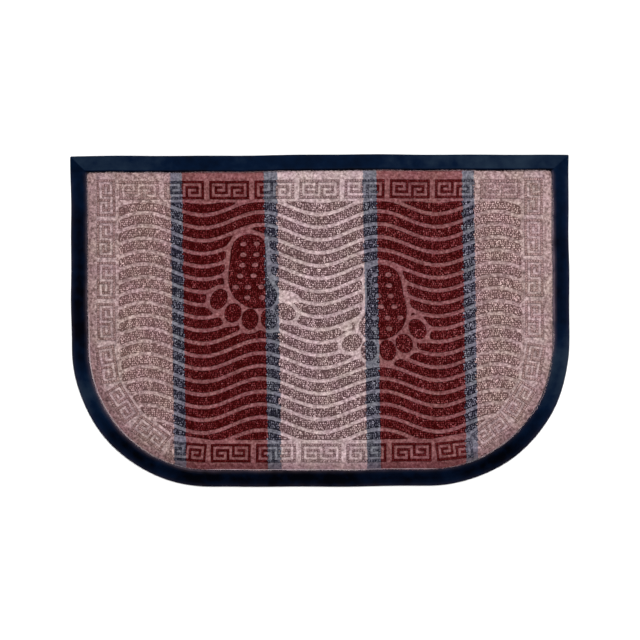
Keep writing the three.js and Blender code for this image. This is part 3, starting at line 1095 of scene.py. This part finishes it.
def pile_loop():
    """One loop of yarn seen as it stands: a bent bead, open below where it enters the backing."""
    bm = bmesh.new()
    bmesh.ops.create_icosphere(bm, subdivisions=1, radius=1)
    for vert in bm.verts:
        vert.co.z -= LOOP_BEND * vert.co.x**2
    foot = min(bm.verts, key=lambda v: v.co.z)
    bmesh.ops.delete(bm, geom=[foot], context="VERTS")
    return template(bm)


def field_loops():
    """Places of the loops on the waves and footprints, in rows with a little unevenness."""
    x, y = np.meshgrid(
        np.arange(-FIELD_HALF, FIELD_HALF, LOOP_PITCH[0]),
        np.arange(FIELD_BOTTOM, FIELD_TOP, LOOP_PITCH[1]),
    )
    x = x + rng.uniform(0, LOOP_PITCH[0], len(y))[:, None]
    x, y = x.ravel(), y.ravel()
    x = x + rng.normal(0, LOOP_JITTER[0], x.size)
    y = y + rng.normal(0, LOOP_JITTER[1], y.size)
    kept = raised_depth(x, y) > LOOP_MARGIN
    return x[kept], y[kept]


def key_loops():
    """Places of the smaller loops on the key border, two by two on each raised cell."""
    pressed_cells = line_cells()
    spots = [
        ((column + a - UNIT_COLUMNS / 2), (UNIT_ROWS / 2 - row - b))
        for column in range(UNIT_COLUMNS)
        for row in range(UNIT_ROWS)
        for a in KEY_LOOP_SPOTS
        for b in KEY_LOOP_SPOTS
        if (column, row) not in pressed_cells
    ]
    u, v = np.array(spots).T
    xs, ys = [], []
    for cx, cy, turn, cell, side in key_places():
        px = u * cell + rng.normal(0, KEY_LOOP_JITTER, u.size)
        py = v * CELL * side + rng.normal(0, KEY_LOOP_JITTER, u.size)
        xs.append(cx + px * cos(turn) - py * sin(turn))
        ys.append(cy + px * sin(turn) + py * cos(turn))
    return np.concatenate(xs), np.concatenate(ys)


def clumps(x, y):
    """Soft uneven noise from 0 to 1, for loops that are light or dark together."""
    grid = rng.random((int(WIDTH / CLUMP_PITCH) + 3, int(LENGTH / CLUMP_PITCH) + 3))
    u, v = (x + LENGTH / 2) / CLUMP_PITCH, (y + WIDTH / 2) / CLUMP_PITCH
    column, row = u.astype(int), v.astype(int)
    u, v = u - column, v - row
    near = grid[row, column] * (1 - u) + grid[row, column + 1] * u
    far = grid[row + 1, column] * (1 - u) + grid[row + 1, column + 1] * u
    return near * (1 - v) + far * v


def add_pile():
    """Every loop of the mat, in one piece for each stripe of yarn."""
    shape = pile_loop()
    wide_x, wide_y = field_loops()
    small_x, small_y = key_loops()
    x, y = np.concatenate([wide_x, small_x]), np.concatenate([wide_y, small_y])
    is_small = np.arange(x.size) >= wide_x.size
    size = np.where(is_small[:, None], KEY_LOOP_SIZE, LOOP_SIZE)
    size = size * rng.normal(1, LOOP_VARIES, size.shape).clip(*LOOP_RANGE)
    z = PILE_TOP - LOOP_SINK * rng.random(x.size) - size[:, 2]
    turns = rng.uniform(0, tau, x.size)
    uneven = LOOP_SPREAD * (rng.random(x.size) - 0.5) + CLUMP_SPREAD * (clumps(x, y) - 0.5)
    tones = LOOP_MIDDLE + uneven * np.where(is_small, KEY_CALM, 1.0)
    # Painted light and shade: loops lighter towards the right, darker where the light falls off
    tones += RIGHT_LIGHTER * np.clip(x / RIGHT_REACH, LEFT_LEAST, 1)
    tones -= FALLOFF_DARKER * falloff_shade_share(x, y)
    across = x * cos(STRIPE_LEAN) + y * sin(STRIPE_LEAN) + rng.normal(0, STRAY, x.size)
    places = np.stack([x, y, z], 1)
    materials = {yarn: pile_yarn(yarn) for yarn in YARNS}
    pieces = []
    start = -LENGTH / 2
    for number, (yarn, end) in enumerate(STRIPES, 1):
        chosen = (across >= start) & (across < end)
        piece = joined_copies(
            f"pile_{number}_{yarn}", shape, places[chosen], turns[chosen], size[chosen],
            materials[yarn])
        lifted = np.clip(tones[chosen] + YARNS[yarn]["lift"] * is_small[chosen], 0, 1)
        mark(piece.data, "tone", np.repeat(lifted, len(shape[0])))
        pieces.append(piece)
        start = end
    return pieces


# Fibres pulled out of the cut edge

# They stand at a pitch, thick and thin by patches, and reach farther over the lip at the right
FLUFF_PITCH = 0.6
FLUFF_PATCH = 22.0
FLUFF_LEAST = 0.15
FLUFF_REACH = 1.1
FLUFF_REACH_RIGHT = 2.6
FACES_RIGHT = 0.7
FLUFF_SIZE = (0.7, 0.2, 0.18)
FLUFF_VARIES = 0.2
FLUFF_RANGE = (0.6, 1.4)
FLUFF_HEIGHT = 5.1
FLUFF_TURN = 0.7
FLUFF_PALE = (0.0, 0.35)


def add_edge_fluff(material):
    """Short stray fibres along the carpet's edge, lying over the lip, thick in some places."""
    points = np.array(mat_outline(CARPET_INSET, CARPET_CORNER))
    span = np.roll(points, -1, 0) - points
    length = np.linalg.norm(span, axis=1)
    ends = np.cumsum(length)
    walk = np.arange(0, ends[-1], FLUFF_PITCH)
    patches = rng.random(int(ends[-1] / FLUFF_PATCH) + 2)
    thick = np.interp(walk, np.arange(patches.size) * FLUFF_PATCH, patches)
    kept = rng.random(walk.size) < FLUFF_LEAST + thick
    walk, thick = walk[kept], thick[kept]
    side = np.searchsorted(ends, walk).clip(0, len(ends) - 1)
    along = span[side] / length[side][:, None]
    outward = np.stack([along[:, 1], -along[:, 0]], 1)
    reach = np.where(outward[:, 0] > FACES_RIGHT, FLUFF_REACH_RIGHT, FLUFF_REACH)
    reach = reach * thick * rng.random(walk.size)
    onward = walk - ends[side] + length[side]
    spot = points[side] + along * onward[:, None] + outward * reach[:, None]
    turns = np.arctan2(outward[:, 1], outward[:, 0]) + rng.normal(0, FLUFF_TURN, walk.size)
    sizes = FLUFF_SIZE * rng.normal(1, FLUFF_VARIES, (walk.size, 3)).clip(*FLUFF_RANGE)
    places = np.column_stack([spot, np.full(walk.size, FLUFF_HEIGHT)])
    shape = pile_loop()
    fluff = joined_copies("edge_fluff", shape, places, turns, sizes, material)
    pale = rng.uniform(*FLUFF_PALE, walk.size)
    mark(fluff.data, "pale", np.repeat(pale, len(shape[0])))
    mark(fluff.data, "loose", np.ones(len(fluff.data.vertices)))
    return fluff


# The whole mat

add_camera()
add_studio()
FIBRE_GROUP = fibre_group()
STRIPE_GROUP = stripe_group()
tray = add_rubber_tray(moulded_rubber())
lay(tray.data)
flat_carpet = pressed_carpet()
sheet = add_carpet_sheet(flat_carpet)
on_sheet = [*add_key_blocks(flat_carpet), *add_pile(), add_edge_fluff(flat_carpet)]
for piece in (sheet, *on_sheet):
    lay(piece.data)
    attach(piece, "root")
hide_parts("carpet_face")
